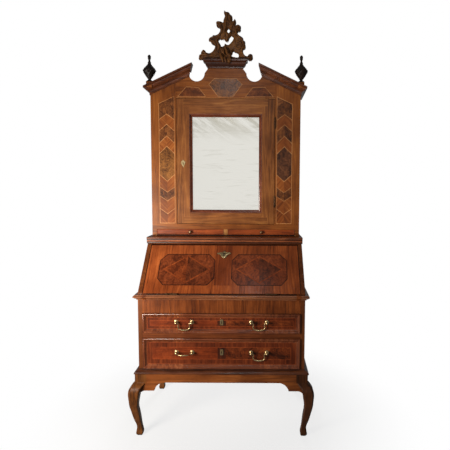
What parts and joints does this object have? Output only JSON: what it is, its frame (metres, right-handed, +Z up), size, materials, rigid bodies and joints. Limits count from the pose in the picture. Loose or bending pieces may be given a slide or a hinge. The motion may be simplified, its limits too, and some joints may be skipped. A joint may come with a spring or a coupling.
{
  "type": "escritoire",
  "caption": "Slant-front writing desk on a cabriole stand with drawers, a fall front over a fitted interior and a mirrored upper cabinet with a broken pediment.",
  "frame": {"origin": "centre of the overall box at floor level", "axes": "+Z up, front faces -Y, +X to the right seen from the front"},
  "size_m": [0.9662, 0.5961, 2.2885],
  "materials": {
    "walnut": "waxed walnut veneer",
    "red_walnut": "polished reddish walnut veneer",
    "pine": "plain softwood, unpolished",
    "carved_wood": "carved and waxed walnut",
    "ebonised": "ebonised, satin",
    "brass": "aged brass",
    "iron": "plain iron",
    "mirror": "aged mirror plate"
  },
  "bodies": {
    "case": {"leg_front_left": "walnut", "leg_front_right": "walnut", "leg_back_left": "walnut", "leg_back_right": "walnut", "apron_rails": "walnut", "knee_brackets": "walnut", "base_moulding": "walnut", "carcase_side_left": "walnut", "carcase_side_right": "walnut", "front_rails": "walnut", "frieze_panel": "walnut", "waist_moulding": "walnut", "desk_top": "walnut", "desk_top_moulding": "walnut", "cabinet_sides": "walnut", "cabinet_rails": "walnut", "pilasters": "walnut", "pediment_board": "walnut", "raking_cornices": "walnut", "pedestal_cap": "walnut", "carcase_bottom": "pine", "back_boards": "pine", "drawer_runners": "pine", "well_box": "pine", "desk_floor": "pine", "gallery_frame": "pine", "cabinet_boards": "pine", "crest_carving": "carved_wood", "finials": "ebonised", "hinge_leaves_fixed": "brass"},
    "door": {"door_frame": "walnut", "door_moulding": "walnut", "mirror_glass": "mirror", "mirror_backboard": "pine", "door_lock": "brass", "door_hinge_leaves": "brass"},
    "door_bolt": {"door_lock_bolt": "iron"},
    "fall": {"fall_board": "red_walnut", "fall_lock": "brass", "fall_hinge_leaves": "brass"},
    "fall_bolt": {"fall_lock_bolt": "iron"},
    "loper_left": {"loper_left": "walnut"},
    "loper_right": {"loper_right": "walnut"},
    "well_cover": {"well_cover": "pine"},
    "small_drawer_left": {"small_drawer_left": "red_walnut", "small_knob_left": "brass"},
    "small_drawer_right": {"small_drawer_right": "red_walnut", "small_knob_right": "brass"},
    "drawer_upper": {"drawer_upper_front": "red_walnut", "drawer_upper_box": "pine", "drawer_upper_fittings": "brass"},
    "drawer_lower": {"drawer_lower_front": "red_walnut", "drawer_lower_box": "pine", "drawer_lower_fittings": "brass"},
    "bail_upper_left": {"drawer_upper_bail_left": "brass"},
    "bail_upper_right": {"drawer_upper_bail_right": "brass"},
    "bail_lower_left": {"drawer_lower_bail_left": "brass"},
    "bail_lower_right": {"drawer_lower_bail_right": "brass"},
    "gallery_drawer_left": {"gallery_drawer_left": "pine"},
    "gallery_drawer_right": {"gallery_drawer_right": "pine"}
  },
  "joints": [
    {"name": "door_hinge", "type": "hinge", "parent": "case", "child": "door", "pos_m": [0.28075, 0.0262, 1.452], "axis": [0, 0, 1], "range_deg": [0, 105]},
    {"name": "door_bolt_slide", "type": "slide", "parent": "door", "child": "door_bolt", "axis": [-1, 0, 0], "range_m": [0, 0.009]},
    {"name": "fall_hinge", "type": "hinge", "parent": "case", "child": "fall", "pos_m": [0, -0.25455, 0.7583], "axis": [1, 0, 0], "range_deg": [0, 133]},
    {"name": "fall_bolt_slide", "type": "slide", "parent": "fall", "child": "fall_bolt", "axis": [0, 0.6693, 0.743], "range_m": [0, 0.009]},
    {"name": "loper_left_slide", "type": "slide", "parent": "case", "child": "loper_left", "axis": [0, -1, 0], "range_m": [0, 0.25]},
    {"name": "loper_right_slide", "type": "slide", "parent": "case", "child": "loper_right", "axis": [0, -1, 0], "range_m": [0, 0.25]},
    {"name": "well_cover_slide", "type": "slide", "parent": "case", "child": "well_cover", "axis": [0, 1, 0], "range_m": [0, 0.15]},
    {"name": "small_drawer_left_slide", "type": "slide", "parent": "case", "child": "small_drawer_left", "axis": [0, -1, 0], "range_m": [0, 0.18]},
    {"name": "small_drawer_right_slide", "type": "slide", "parent": "case", "child": "small_drawer_right", "axis": [0, -1, 0], "range_m": [0, 0.18]},
    {"name": "drawer_upper_slide", "type": "slide", "parent": "case", "child": "drawer_upper", "axis": [0, -1, 0], "range_m": [0, 0.36]},
    {"name": "drawer_lower_slide", "type": "slide", "parent": "case", "child": "drawer_lower", "axis": [0, -1, 0], "range_m": [0, 0.36]},
    {"name": "gallery_drawer_left_slide", "type": "slide", "parent": "case", "child": "gallery_drawer_left", "axis": [0, -1, 0], "range_m": [0, 0.12]},
    {"name": "gallery_drawer_right_slide", "type": "slide", "parent": "case", "child": "gallery_drawer_right", "axis": [0, -1, 0], "range_m": [0, 0.12]},
    {"name": "bail_upper_left_swing", "type": "hinge", "parent": "drawer_upper", "child": "bail_upper_left", "pos_m": [-0.195, -0.259, 0.608], "axis": [-1, 0, 0], "range_deg": [0, 100]},
    {"name": "bail_upper_right_swing", "type": "hinge", "parent": "drawer_upper", "child": "bail_upper_right", "pos_m": [0.195, -0.259, 0.608], "axis": [-1, 0, 0], "range_deg": [0, 100]},
    {"name": "bail_lower_left_swing", "type": "hinge", "parent": "drawer_lower", "child": "bail_lower_left", "pos_m": [-0.195, -0.259, 0.446], "axis": [-1, 0, 0], "range_deg": [-95, 0]},
    {"name": "bail_lower_right_swing", "type": "hinge", "parent": "drawer_lower", "child": "bail_lower_right", "pos_m": [0.195, -0.259, 0.446], "axis": [-1, 0, 0], "range_deg": [0, 100]}
  ]
}
